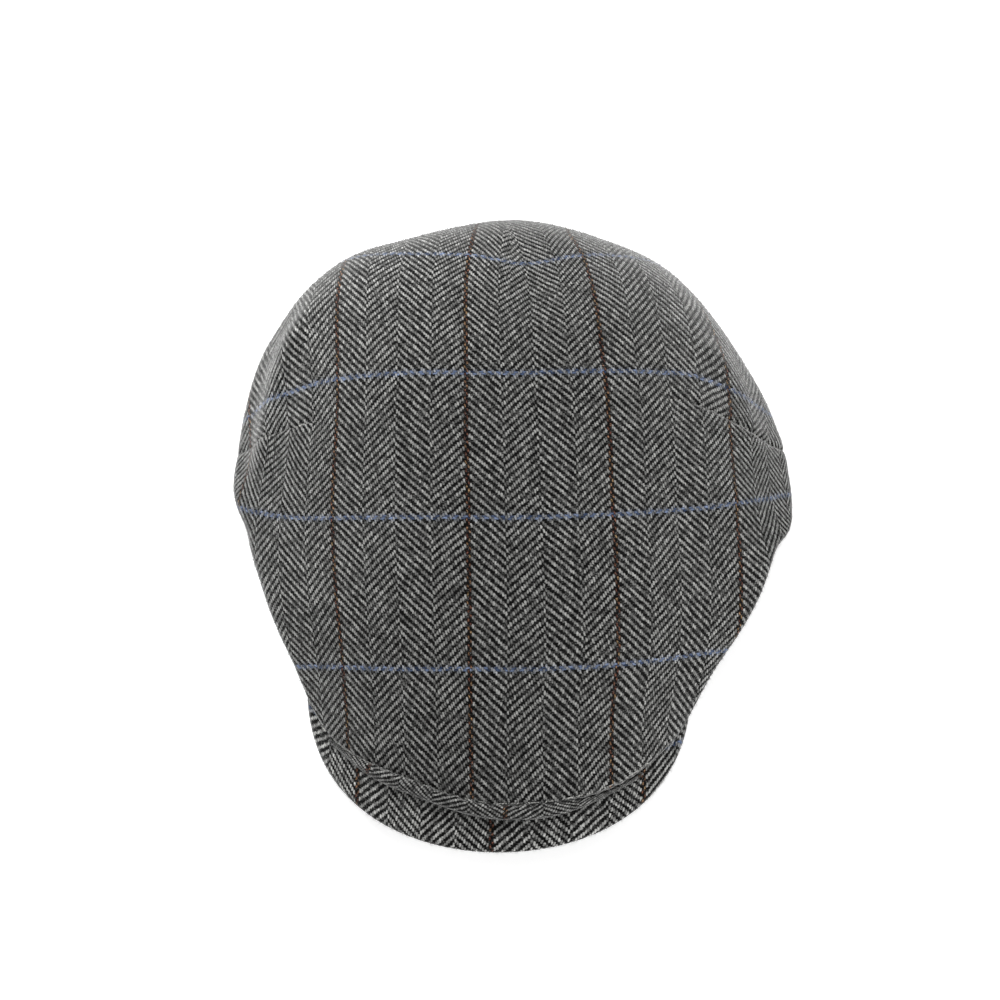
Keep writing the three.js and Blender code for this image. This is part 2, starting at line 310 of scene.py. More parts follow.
class FlatCapTweed(bpy.types.PropertyGroup):
    """Threads, checks and colours of the tweed."""

    end_pitch: FloatProperty(
        name="End pitch", description="Distance between warp threads",
        default=0.9375 * MM, unit="LENGTH",
    )
    pick_pitch: FloatProperty(
        name="Pick pitch", description="Distance between weft threads",
        default=0.826 * MM, unit="LENGTH",
    )
    column_ends: IntProperty(
        name="Column ends", description="Warp threads in a herringbone column",
        default=16,
    )
    check_ends: IntProperty(name="Check ends", description="Warp threads between rust lines", default=64)
    check_picks: IntProperty(name="Check picks", description="Weft threads between blue lines", default=72)
    warp: FloatVectorProperty(
        name="Warp", description="Light grey warp wool",
        subtype="COLOR", default=to_linear("#8b8b89"),
    )
    weft: FloatVectorProperty(
        name="Weft", description="Charcoal weft wool",
        subtype="COLOR", default=to_linear("#0c0c0c"),
    )
    rust: FloatVectorProperty(
        name="Rust", description="Red wool of the check's warp",
        subtype="COLOR", default=to_linear("#7c5046"),
    )
    ochre: FloatVectorProperty(
        name="Ochre", description="Ochre wool spun in with the red",
        subtype="COLOR", default=to_linear("#735f45"),
    )
    blue: FloatVectorProperty(
        name="Blue", description="Blue weft of the check",
        subtype="COLOR", default=to_linear("#384765"),
    )
    slate: FloatVectorProperty(
        name="Slate", description="Paler wool spun in with the blue",
        subtype="COLOR", default=to_linear("#66728b"),
    )
    fleck: FloatVectorProperty(
        name="Fleck", description="Grey wool spun into the weft",
        subtype="COLOR", default=to_linear("#5a5a59"),
    )
    # Painted sheen: a pale colour mixed into the tweed at grazing angles, for loose wool seen along the
    # surface.
    painted_sheen: FloatVectorProperty(
        name="Painted sheen", description="Loose wool seen along the surface",
        subtype="COLOR", default=to_linear("#7e7e7c"),
    )


class FlatCapSewing(bpy.types.PropertyGroup):
    """Thickness of the cloth, its hem, its darts and its front seam."""

    cloth: FloatProperty(
        name="Cloth", description="Thickness of the tweed",
        default=2 * MM, unit="LENGTH",
    )
    hem: FloatProperty(
        name="Hem", description="Thickness of the turned hem at the rim",
        default=4 * MM, unit="LENGTH",
    )
    hem_depth: FloatProperty(
        name="Hem depth", description="How far the hem is turned up inside",
        default=18 * MM, unit="LENGTH",
    )
    dart_depth: FloatProperty(
        name="Dart depth", description="How deep a dart's seam is sunk",
        default=0.7 * MM, unit="LENGTH",
    )
    stitch_spacing: FloatProperty(
        name="Stitch spacing", description="Distance between puckers of the front seam",
        default=5.7 * MM, unit="LENGTH",
    )
    pucker: FloatProperty(
        name="Pucker", description="Depth of the front seam's puckers",
        default=0.45 * MM, unit="LENGTH",
    )


class FlatCapNap(bpy.types.PropertyGroup):
    """Loose wool on the cloth, and the rows of stitches along its seams."""

    density: FloatProperty(name="Fibres", description="Loose fibres per square metre", default=680000)
    length: FloatProperty(
        name="Fibre length", description="Length of a common fibre",
        default=1.4 * MM, unit="LENGTH",
    )
    radius: FloatProperty(
        name="Fibre radius", description="Radius of a fibre at its root",
        default=0.065 * MM, unit="LENGTH",
    )
    bead_spacing: FloatProperty(
        name="Bead spacing", description="Distance between threads pulled up by a seam",
        default=1.1 * MM, unit="LENGTH",
    )
    hem_spacing: FloatProperty(
        name="Hem stitch spacing", description="Distance between the hem's stitches",
        default=6 * MM, unit="LENGTH",
    )
    light: FloatVectorProperty(
        name="Light fibre", description="Pale loose wool",
        subtype="COLOR", default=to_linear("#80807e"),
    )
    dark: FloatVectorProperty(
        name="Dark fibre", description="Charcoal loose wool",
        subtype="COLOR", default=to_linear("#303030"),
    )
    pulled: FloatVectorProperty(
        name="Pulled-up wool", description="Wool drawn out along a seam",
        subtype="COLOR", default=to_linear("#b8b8b4"),
    )
    thread: FloatVectorProperty(
        name="Thread", description="Black sewing thread",
        subtype="COLOR", default=to_linear("#1c1c1c"),
    )


class FlatCapStage(bpy.types.PropertyGroup):
    """Camera, light and floor."""

    elevation: FloatProperty(
        name="Elevation", description="Angle at which the camera looks down",
        default=np.radians(59), subtype="ANGLE",
    )
    distance: FloatProperty(
        name="Distance", description="From the camera to the cap",
        default=0.9, unit="LENGTH",
    )
    lens: FloatProperty(
        name="Lens", description="Focal length in millimetres",
        default=80.35, unit="CAMERA",
    )
    sky: FloatProperty(name="Sky", description="Strength of the light from all round", default=0.46)
    key: FloatProperty(
        name="Key", description="Power in watts of which each softbox has its share",
        default=28.0, unit="POWER",
    )
    floor_glow: FloatProperty(
        name="Floor glow", description="How far the white floor is overlit",
        default=0.57,
    )
    aim: FloatVectorProperty(
        name="Aim", description="Point in the middle of the picture", subtype="TRANSLATION",
        default=(-4.516 * MM, 6.128 * MM, 41.04 * MM),
    )


def smooth(value, start, end):
    """0 before start, 1 after end and a smooth rise between."""
    t = np.clip((value - start) / (end - start), 0, 1)
    return t * t * (3 - 2 * t)


def curve_through(x, y, level_ends):
    """A smooth curve through a table's points, level at both ends when asked."""
    x = np.array(x, float)
    y = np.array(y, float)
    slope = np.empty_like(y)
    slope[1:-1] = (y[2:] - y[:-2]) / (x[2:] - x[:-2])
    slope[0] = 0 if level_ends else (y[1] - y[0]) / (x[1] - x[0])
    slope[-1] = 0 if level_ends else (y[-1] - y[-2]) / (x[-1] - x[-2])

    def at(where):
        p = np.clip(where, x[0], x[-1])
        i = np.clip(np.searchsorted(x, p) - 1, 0, len(x) - 2)
        span = x[i + 1] - x[i]
        s = (p - x[i]) / span
        from_start = 1 - 3 * s**2 + 2 * s**3
        lead = slope[i] * s * (1 - s) ** 2 * span + slope[i + 1] * s**2 * (s - 1) * span
        return y[i] * from_start + y[i + 1] * (1 - from_start) + lead

    return at


spine_height = curve_through(SPINE["behind"], SPINE["height"], False)
reach_left = curve_through(FOLD["direction"], FOLD["left"], True)
reach_right = curve_through(FOLD["direction"], FOLD["right"], True)
fold_height = curve_through(FOLD["direction"], FOLD["height"], True)
fold_shoulder = curve_through(FOLD["direction"], FOLD["shoulder"], True)


def fold_reach(direction):
    """From the crown's centre to its outermost fold."""
    return np.where(direction < 0, reach_left(-direction), reach_right(direction))


def plan(direction, distance):
    """To the right of the crown's centre and behind it, at a distance in a direction."""
    angle = np.radians(direction)
    return distance * np.sin(angle), -distance * np.cos(angle)


def place(direction, distance, height):
    """Points in the cap's frame, in metres."""
    aside, behind = plan(direction, distance)
    x, y, z = np.broadcast_arrays(CENTRE_X + aside, CENTRE_Y + behind, height)
    return np.stack([x, y, z], axis=-1) * MM


def reach_to(oval, direction):
    """From the crown's centre to an oval round it."""
    angle = np.radians(direction)
    across = np.sin(angle) / oval["half_width"]
    along = -np.cos(angle) / oval["half_length"]
    off_across = oval["aside"] / oval["half_width"]
    off_along = oval["behind"] / oval["half_length"]
    a = across**2 + along**2
    b = off_across * across + off_along * along
    c = off_across**2 + off_along**2 - 1
    return (b + np.sqrt(b**2 - a * c)) / a


def peak_top(direction, distance):
    """Height of the peak's upper side."""
    aside, behind = plan(direction, distance)
    from_front = behind - (PEAK["behind"] - PEAK["half_length"])
    from_middle = aside - PEAK["aside"]
    return PEAK_FRONT_HEIGHT + PEAK_SLOPE * from_front - from_middle**2 / (2 * PEAK_ARCH_RADIUS)


def crown_edge(direction, cloth, hem):
    """Reach, height and thickness of the crown's lower edge, which the peak and the floor carry."""
    aside = np.abs(direction)
    to_rim = smooth(aside, RIM_STARTS, RIM_WHOLE)
    reach = (1 - to_rim) * (fold_reach(direction) - FRONT_TUCK) + to_rim * reach_to(RIM, direction)
    thickness = cloth + (hem - cloth) * to_rim
    on_peak = np.maximum(peak_top(direction, reach), peak_top(direction, reach - thickness))
    height = (on_peak + SEAM_GAP) * (1 - smooth(aside, EDGE_FALLS, EDGE_LEVEL))
    return reach, height, thickness


def crown_outline(direction, cloth, hem):
    """Distances and heights of the crown's outside, a row for each direction, from its top to its edge."""
    column = direction[:, None]
    reach = fold_reach(column)
    low = fold_height(np.abs(column))
    power = fold_shoulder(np.abs(column))

    # Points crowd together towards the fold, where the top bends most.
    share = 1 - (1 - np.linspace(0, 1, OUTLINE_POINTS)) ** 3
    aside, behind = plan(column, share * reach)
    top = spine_height(behind) - CROSSFALL * aside**2
    rounded = low + (top - low) * np.maximum(0, 1 - share**power) ** (1 / power)
    creased = top - (top[:, -1:] - low) * share**CREASE_POWER
    surface = creased + (rounded - creased) * smooth(np.abs(column), CREASE_WHOLE, CREASE_ENDS)
    edge_reach, edge_height, _ = crown_edge(column, cloth, hem)
    drop = low - edge_height
    tuck = reach - edge_reach
    t = np.linspace(0, 1, WALL_POINTS)[1:]
    weights = ((1 - t) ** 3, 3 * t * (1 - t) ** 2, 3 * t**2 * (1 - t), t**3)
    wall_out = (reach, reach, edge_reach + WALL_TUCK_LEFT * tuck, edge_reach)
    wall_up = (low, low - WALL_HANG * drop, edge_height + WALL_HEIGHT_LEFT * drop, edge_height)
    distance = np.hstack([share * reach, sum(w * p for w, p in zip(weights, wall_out))])
    height = np.hstack([surface, sum(w * p for w, p in zip(weights, wall_up))])
    return distance, height


def even_rows(distance, height, rows, trim):
    """Points spaced evenly along each outline, stopping short of its end, and their distance along it."""
    step = np.hypot(np.diff(distance, axis=1), np.diff(height, axis=1))
    along = np.hstack([np.zeros((len(step), 1)), np.cumsum(step, axis=1)])
    wanted = np.linspace(0, 1, rows) * (along[:, -1:] - trim)
    near = np.array([np.interp(w, a, d) for w, a, d in zip(wanted, along, distance)])
    high = np.array([np.interp(w, a, h) for w, a, h in zip(wanted, along, height)])
    return near, high, wanted


def turned_from(direction, other):
    """Degrees from another direction to this one, the short way round."""
    return (direction - other + 180) % 360 - 180


def crown_directions():
    """Directions of the crown's columns: closer together along the front seam and at the darts."""
    spread = np.concatenate(
        [
            np.arange(-180, -FRONT_SPAN, COLUMN_STEP),
            np.arange(-FRONT_SPAN, FRONT_SPAN, FRONT_STEP),
            np.arange(FRONT_SPAN, 180 - COLUMN_STEP / 12, COLUMN_STEP),
        ]
    )
    beside_dart = np.array(DART_COLUMNS)
    for dart in DARTS["direction"]:
        spread = spread[np.abs(turned_from(spread, dart)) > DART_COLUMNS_CLEAR]
    darts = [turned_from(dart + beside_dart, 0) for dart in DARTS["direction"]]
    return np.sort(np.concatenate([spread, *darts]))


def grid_faces(first, columns, rows):
    """Quads of a grid of vertices numbered column by column, with its columns joined round."""
    c = np.arange(columns)[:, None]
    r = np.arange(rows - 1)[None]
    near = first + c * rows + r
    far = first + (c + 1) % columns * rows + r
    return np.stack([near, near + 1, far + 1, far], axis=-1).reshape(-1, 4)


def surface_normals(points):
    """Outward normals of a closed ring of columns, shaped as (columns, rows, 3)."""
    down = np.gradient(points, axis=1)
    round_it = np.roll(points, -1, axis=0) - np.roll(points, 1, axis=0)
    normal = np.cross(down, round_it)
    normal[:, 0] = normal[:, 1]
    return normal / np.linalg.norm(normal, axis=2, keepdims=True)


def slant_to_darts(direction, along):
    """Directions of the crown's points once its columns beside a dart slant with the dart."""
    slanted = np.broadcast_to(direction[:, None], along.shape)
    for dart, slant, start, *_ in zip(*DARTS.values()):
        reach = fold_reach(np.array(float(dart)))
        beside = 1 - smooth(np.abs(turned_from(direction, dart)), 0, DART_BEND)[:, None]
        slanted = slanted + slant * beside * (1 - smooth(along, start * reach, DART_SLANT_ENDS * reach))
    return slanted


def lay_cloth(column, direction, along):
    """Cloth coordinates across and along the warp, in metres, where a column of the crown's cloth lies."""
    turn = np.zeros_like(along)
    for dart, _, _, pulls_from, open_at, before, after, _ in zip(*DARTS.values()):
        off = turned_from(column, dart)
        reach = fold_reach(np.array(float(dart)))
        opened = smooth(along, pulls_from * reach, open_at * reach) / np.maximum(along, 1)
        near_dart = 1 - smooth(np.abs(off), 0, DART_PULL)
        turn = turn + np.where(off < 0, -before, after) * opened * near_dart
    angle = np.radians(direction) + turn
    aside = along * np.sin(angle)
    behind = -along * np.cos(angle)
    from_line = aside - CHECK_ASIDE - CHECK_DRIFT * behind
    to_right = smooth(from_line, -SIDES_BLEND, SIDES_BLEND)

    def both_sides(table, behind_it):
        left = curve_through(table["behind"], table["left"], True)(behind_it)
        right = curve_through(table["behind"], table["right"], True)(behind_it)
        return left + (right - left) * to_right

    # A weft's bow is known where it crosses the middle, so it is followed there step by step.
    square = aside**2 / (1 + (aside / BOW_EASES) ** 2)
    middle = behind
    for _ in range(BOW_STEPS):
        middle = (middle + behind - both_sides(WEFT_BOW, middle) * square) / 2
    dimple = DIMPLE["pull"] * np.exp(-(((aside - DIMPLE["aside"]) / DIMPLE["width"]) ** 2))
    dimple = dimple * smooth(behind, DIMPLE["begins"], DIMPLE["whole"])
    skew = curve_through(WARP_GATHER["behind"], WARP_GATHER["skew"], True)(behind)
    skew = skew * from_line * np.abs(from_line) / GATHER_SPAN**2
    u = from_line * both_sides(WARP_GATHER, behind) * (1 - skew)
    u = u - DROP_TAKES * smooth(-aside, *DROP_ASIDE) * smooth(behind, *DROP_BEHIND)
    u = u + FALL_SHARE * np.maximum(u - FALL_FROM, 0) ** 2 * smooth(behind, *FALL_BEHIND)
    return np.stack([u, middle + dimple - CHECK_BEHIND], axis=-1) * MM


def front_seam_length(direction):
    """Distance along the front seam from its middle, for directions in rising order."""
    points = place(direction, fold_reach(direction), 0) / MM
    step = np.linalg.norm(np.diff(points, axis=0), axis=1)
    length = np.concatenate([[0], np.cumsum(step)])
    return length - np.interp(0, direction, length)


def seam_puckers(length, spacing):
    """0 between the stitches of the front seam and 1 where one pulls the cloth in, at uneven spacing."""
    uneven = sum(most * np.sin(length / span + shift) for most, span, shift in PUCKER_UNEVEN)
    return (0.5 + 0.5 * np.cos(2 * np.pi * length / spacing + uneven)) ** 2


def dart_relief(direction, near, along, dart_depth):
    """Sunk seams of the darts, the swell beside them, the ripple of stitches and a dimple at each tip."""
    relief = np.zeros_like(near)
    for dart, _, start, *_, sunk in zip(*DARTS.values()):
        off = np.radians(turned_from(direction[:, None], dart)) * near
        seam = np.argmin(np.abs(turned_from(direction, dart)))
        tip = np.interp(start * fold_reach(np.array(float(dart))), near[seam], along[seam])
        sewn = smooth(along, tip, tip + DART_SINKS_OVER)
        depth = dart_depth * sunk
        relief -= depth * np.maximum(0, 1 - np.abs(off) / DART_SEAM_HALF) ** DART_SEAM_POWER * sewn
        beside = np.exp(-(((np.abs(off) - DART_SWELL["off"]) / DART_SWELL["width"]) ** 2))
        relief += DART_SWELL["share"] * depth * beside * sewn
        stitched = DART_RIPPLE["height"] * sunk * np.sin(along / DART_RIPPLE["span"])
        relief += stitched * np.exp(-((off / DART_RIPPLE["width"]) ** 2)) * sewn
        relief -= DART_DIMPLE["depth"] * np.exp(-(off**2 + (along - tip) ** 2) / DART_DIMPLE["spread"])
    return relief


def slack_relief(column, along, fold_at):
    """Loose cloth that stands out over the back dart."""
    slack = np.exp(-((turned_from(column, BACK_SLACK["direction"]) / BACK_SLACK["width"]) ** 2))
    slack = slack * smooth(along, BACK_SLACK["begins"] * fold_at, BACK_SLACK["whole"] * fold_at)
    slack = slack * (1 - smooth(along, fold_at, fold_at + BACK_SLACK["ends"]))
    return BACK_SLACK["fullness"] * slack


def tier_relief(column, near, along, fold_at):
    """The soft edge at each side of the crown and the shelf below it."""
    share = near / near.max(axis=1, keepdims=True)

    # Past the fold, where the wall runs back in, the share counts on.
    share = np.where(along > fold_at, 2 - share, share)
    tier = np.exp(-(((share - TIER_EDGE) / TIER_WIDTH) ** 2))
    tier = tier - TIER_SUNK * np.exp(-(((share - TIER_SHELF) / TIER_WIDTH) ** 2))
    full = np.zeros_like(column)
    for begins, ends, fullness in zip(*TIERS.values()):
        there = smooth(column, begins, begins + TIER_FADES) * (1 - smooth(column, ends - TIER_FADES, ends))
        full = full + fullness * there
    return full * tier


def pucker_relief(direction, along, fold_at, sewing):
    """Puckers along the front seam, as far as the front roll reaches."""
    column = direction[:, None]
    puckers = seam_puckers(front_seam_length(direction), sewing.stitch_spacing / MM)[:, None]
    from_left = smooth(column, ROLL_LEFT_END - PUCKER_PAST, ROLL_LEFT_END + PUCKER_SHORT)
    to_right = smooth(column, ROLL_RIGHT_END - PUCKER_SHORT, ROLL_RIGHT_END + PUCKER_PAST)
    in_front = from_left * (1 - to_right)
    before_seam = np.maximum(fold_at - along, 0)
    near_seam = np.exp(-((before_seam / PUCKER_REACH) ** 2))
    return sewing.pucker / MM * (PUCKER_RISE - puckers) * near_seam * in_front


def crown_relief(direction, near, along, sewing):
    """How far the crown's cloth stands out of its smooth form, in millimetres."""
    column = direction[:, None]
    first, second = [
        np.sin(near / span + np.radians(turns * column) + shift) for span, turns, shift in RIPPLES
    ]
    ripples = RIPPLE_HEIGHT * first * second * smooth(near, *RIPPLE_BEGINS)
    darts = dart_relief(direction, near, along, sewing.dart_depth / MM)
    fold_at = np.take_along_axis(along, near.argmax(axis=1)[:, None], axis=1)
    slack = slack_relief(column, along, fold_at)
    tiers = tier_relief(column, near, along, fold_at)
    puckers = pucker_relief(direction, along, fold_at, sewing)
    return ripples + darts + slack + tiers + puckers


def new_piece(name, points, faces, outside, uv, material):
    """A smooth mesh object at the origin, with a cloth UV map in metres and its napped faces marked."""
    mesh = bpy.data.meshes.new(name)
    mesh.from_pydata(points.tolist(), [], faces)
    layer = mesh.uv_layers.new(name="cloth")
    layer.data.foreach_set("uv", np.asarray(uv, np.float32).ravel())
    clear = np.array([points[face, 2].min() > NAP_CLEAR * MM for face in faces])
    napped = np.asarray(outside, bool) & clear
    mesh.attributes.new("napped", "BOOLEAN", "FACE").data.foreach_set("value", napped)
    mesh.shade_smooth()
    mesh.materials.append(material)
    piece = bpy.data.objects.new(name, mesh)
    bpy.context.scene.collection.objects.link(piece)
    return piece


def add_node(tree, kind, inputs=(), **settings):
    """Adds a node with its settings, and its inputs by name or in order; gives its outputs."""
    node = tree.nodes.new(kind)
    for key, value in settings.items():
        setattr(node, key, value)
    ready = [socket for socket in node.inputs if socket.enabled]
    pairs = inputs.items() if isinstance(inputs, dict) else enumerate(inputs)
    for key, value in pairs:
        socket = node.inputs[key] if isinstance(key, str) else ready[key]
        if isinstance(value, bpy.types.NodeSocket):
            tree.links.new(value, socket)
        else:
            socket.default_value = value
    return [socket for socket in node.outputs if socket.enabled]


def weave_herringbone(tree, cloth, tweed):
    """A point's place among the threads of a two-and-two herringbone, and the thread on top there."""
    # Threads waver by part of their spacing.
    lay = cloth
    for span, most in THREAD_WAVER:
        scale = 1 / (span * MM)
        waver = add_node(tree, "ShaderNodeTexNoise", {"Vector": cloth, "Scale": scale, "Detail": 2})[1]
        waver = add_node(tree, VECTOR, (waver, (0.5, 0.5, 0.5)), operation="SUBTRACT")[0]
        lay = add_node(tree, VECTOR, (waver, (most * MM, most * MM, 0), lay), operation="MULTIPLY_ADD")[0]
    per_metre = (1 / tweed.end_pitch, 1 / tweed.pick_pitch, 0)
    threads = add_node(tree, VECTOR, (lay, per_metre), operation="MULTIPLY")[0]
    number = add_node(tree, VECTOR, (threads,), operation="FLOOR")[0]
    within = add_node(tree, VECTOR, (threads,), operation="FRACTION")[0]
    end, pick, _ = add_node(tree, "ShaderNodeSeparateXYZ", (number,))
    across_end, across_pick, _ = add_node(tree, "ShaderNodeSeparateXYZ", (within,))

    # Two over, two under, with the slant turned and set off by half a repeat from column to column.
    column = add_node(tree, MATH, (end, tweed.column_ends), operation="DIVIDE")[0]
    column = add_node(tree, MATH, (column,), operation="FLOOR")[0]
    turned = add_node(tree, MATH, (column, 2), operation="FLOORED_MODULO")[0]
    slant = add_node(tree, MATH, (turned, -2, 1), operation="MULTIPLY_ADD")[0]
    step = add_node(tree, MATH, (slant, end, pick), operation="MULTIPLY_ADD")[0]
    step = add_node(tree, MATH, (step, turned), operation="ADD")[0]
    phase = add_node(tree, MATH, (step, 4), operation="FLOORED_MODULO")[0]
    warp_up = add_node(tree, MATH, (phase, 1.5), operation="LESS_THAN")[0]

    # Roundness of the thread that lies on top, across it and along its float. The yarn's twist leans it.
    end_run = add_node(tree, MATH, (slant, across_end, turned), operation="MULTIPLY_ADD")[0]
    weft_run = add_node(tree, MATH, (phase, end_run), operation="ADD")[0]
    weft_run = add_node(tree, MATH, (weft_run, 2), operation="SUBTRACT")[0]
    warp_run = add_node(tree, MATH, (phase, across_pick), operation="ADD")[0]
    run = add_node(tree, MIX, (warp_up, weft_run, warp_run))[0]
    run = add_node(tree, MATH, (run, 1), operation="SUBTRACT")[0]
    side = add_node(tree, MIX, (warp_up, across_pick, across_end))[0]
    side = add_node(tree, MATH, (side, 2, -1), operation="MULTIPLY_ADD")[0]
    side = add_node(tree, MATH, (run, TWIST_LEAN, side), operation="MULTIPLY_ADD")[0]
    side = add_node(tree, MATH, (side, side), operation="MULTIPLY")[0]
    run = add_node(tree, MATH, (run, run), operation="MULTIPLY")[0]
    height = add_node(tree, MATH, (side, -SIDE_FALL, 1), operation="MULTIPLY_ADD")[0]
    height = add_node(tree, MATH, (run, -END_FALL, height), operation="MULTIPLY_ADD")[0]

    # Milling has felted the threads, so their edges are ragged.
    scale = 1 / (FELT_GRAIN * MM)
    ragged = add_node(tree, "ShaderNodeTexNoise", {"Vector": cloth, "Scale": scale, "Detail": 2})[0]
    ragged = add_node(tree, MATH, (ragged, 0.5), operation="SUBTRACT")[0]
    height = add_node(tree, MATH, (ragged, FELT_RAGGED, height), operation="MULTIPLY_ADD")[0]
    height = add_node(tree, MATH, (height, LEAST_HEIGHT), operation="MAXIMUM")[0]
    return {
        "lay": lay,
        "end": end,
        "pick": pick,
        "step": step,
        "warp_up": warp_up,
        "ragged": ragged,
        "height": height,
    }


def dye_threads(tree, tweed, woven, painted_warp_light):
    """Colour of the thread on top, and a chance that its float has to itself."""
    # The wool is mixed in the yarn, so each float is lighter or darker than the next.
    end, pick, warp_up = woven["end"], woven["pick"], woven["warp_up"]
    float_row = add_node(tree, MATH, (woven["step"], 4), operation="DIVIDE")[0]
    float_row = add_node(tree, MATH, (float_row,), operation="FLOOR")[0]
    float_thread = add_node(tree, MIX, (warp_up, pick, end))[0]
    float_place = add_node(tree, "ShaderNodeCombineXYZ", (float_thread, float_row, warp_up))[0]
    chance, other_chance = add_node(tree, "ShaderNodeTexWhiteNoise", {"Vector": float_place})

    # Check lines: two ends of mixed rust wool, and two blue picks that tint a pick on either side.
    on_line = []
    threads = ((end, tweed.check_ends, 1), (pick, tweed.check_picks, 1), (pick, tweed.check_picks, 2))
    for thread, spacing, half in threads:
        in_check = add_node(tree, MATH, (thread, half), operation="ADD")[0]
        in_check = add_node(tree, MATH, (in_check, spacing), operation="FLOORED_MODULO")[0]
        on_line.append(add_node(tree, MATH, (in_check, 2 * half - 0.5), operation="LESS_THAN")[0])
    on_rust, on_blue, by_blue = on_line
    hue = add_node(tree, "ShaderNodeSeparateXYZ", (other_chance,))[0]
    rust = add_node(tree, MIX, (hue, (*tweed.rust, 1), (*tweed.ochre, 1)), data_type="RGBA")[0]
    narrow = add_node(tree, MATH, (woven["height"], RUST_NARROWS), operation="POWER")[0]
    rust = add_node(tree, VECTOR, (rust, narrow), operation="SCALE")[0]
    # Painted light: a piece's warp can be made lighter by a factor, as on the peak.
    pale = [part * painted_warp_light for part in tweed.warp]
    hazed = add_node(tree, MATH, (by_blue, BLUE_HAZE), operation="MULTIPLY")[0]
    warp = add_node(tree, MIX, (hazed, (*pale, 1), (*tweed.slate, 1)), data_type="RGBA")[0]
    warp = add_node(tree, MIX, (on_rust, warp, rust), data_type="RGBA")[0]
    greyed = (woven["ragged"], GREY_BY_EDGE, -GREY_HELD_BACK)
    greyed = add_node(tree, MATH, greyed, operation="MULTIPLY_ADD")[0]
    greyed = (chance, GREY_BY_FLOAT, greyed)
    greyed = add_node(tree, MATH, greyed, operation="MULTIPLY_ADD", use_clamp=True)[0]
    weft = add_node(tree, MIX, (greyed, (*tweed.weft, 1), (*tweed.fleck, 1)), data_type="RGBA")[0]
    blue = add_node(tree, MIX, (hue, (*tweed.blue, 1), (*tweed.slate, 1)), data_type="RGBA")[0]
    weft = add_node(tree, MIX, (on_blue, weft, blue), data_type="RGBA")[0]
    thread = add_node(tree, MIX, (warp_up, weft, warp), data_type="RGBA")[0]
    return thread, chance


def tweed_material(name, tweed, painted_warp_light):
    """Woollen herringbone tweed, milled soft: light warp floats over a charcoal weft, with check lines, a
    dry matt face and a painted sheen, a pale colour mixed in at grazing angles for loose fibre. The warp can
    be painted lighter by a factor, as painted light, which the peak's copy uses."""
    material = bpy.data.materials.new(name)
    material.use_nodes = True
    tree = material.node_tree
    tree.nodes.clear()
    cloth = add_node(tree, "ShaderNodeUVMap", uv_map="cloth")[0]
    woven = weave_herringbone(tree, cloth, tweed)
    height = woven["height"]
    thread, chance = dye_threads(tree, tweed, woven, painted_warp_light)

    # Finer flecks run through every thread. The hollows between threads are darker: the colour is darkened
    # by the threads' height, which is painted shade.
    scale = 1 / (FLECK_GRAIN * MM)
    fleck = add_node(tree, "ShaderNodeTexNoise", {"Vector": woven["lay"], "Scale": scale, "Detail": 3})[0]
    fleck = add_node(tree, MATH, (chance, FLOATS_DIFFER, fleck), operation="MULTIPLY_ADD")[0]
    fleck = add_node(tree, MATH, (fleck, FLECK_CONTRAST, -FLECK_DARKENS), operation="MULTIPLY_ADD")[0]
    # Painted shade: the colour darkens with the thread's height, into the hollows.
    fleck = add_node(tree, MATH, (fleck, height), operation="MULTIPLY")[0]
    scale = 1 / (MOTTLE_GRAIN * MM)
    mottle = add_node(tree, "ShaderNodeTexNoise", {"Vector": cloth, "Scale": scale, "Detail": 3})[0]
    mottle = add_node(tree, MATH, (mottle, MOTTLE_MORE, MOTTLE_LEAST), operation="MULTIPLY_ADD")[0]
    fleck = add_node(tree, MATH, (fleck, mottle), operation="MULTIPLY")[0]
    colour = add_node(tree, VECTOR, (thread, fleck), operation="SCALE")[0]

    # Painted sheen: at grazing angles the colour is mixed towards a pale grey, for loose fibre that sheens
    # along the surface and hides the threads.
    along_it = add_node(tree, "ShaderNodeLayerWeight", {"Blend": 0.5})[1]
    painted_sheen_share = (along_it, PAINTED_SHEEN_RISE, -PAINTED_SHEEN_HELD_BACK)
    painted_sheen_share = add_node(tree, MATH, painted_sheen_share, operation="MULTIPLY_ADD", use_clamp=True)[0]
    colour = add_node(tree, MIX, (painted_sheen_share, colour, (*tweed.painted_sheen, 1)), data_type="RGBA")[0]
    raised = {"Strength": 0.5, "Distance": WEAVE_BUMP * MM, "Height": height}
    bump = add_node(tree, "ShaderNodeBump", raised)[0]
    shader = add_node(
        tree,
        "ShaderNodeBsdfPrincipled",
        {
            "Base Color": colour,
            "Roughness": 0.92,
            "Specular IOR Level": 0.05,
            "Sheen Weight": 0.6,
            "Sheen Roughness": 0.3,
            "Normal": bump,
        },
    )[0]
    add_node(tree, "ShaderNodeOutputMaterial", {"Surface": shader})
    return material


def paper_material(glow):
    """White paper, even and matt, with a glow of its own because it stands for an overlit floor."""
    material = bpy.data.materials.new("white_paper_floor")
    material.use_nodes = True
    shader = material.node_tree.nodes["Principled BSDF"]
    shader.inputs["Base Color"].default_value = (*to_linear("#f2f2f2"), 1)
    shader.inputs["Roughness"].default_value = 0.9
    shader.inputs["Emission Color"].default_value = (1, 1, 1, 1)
    shader.inputs["Emission Strength"].default_value = glow
    return material


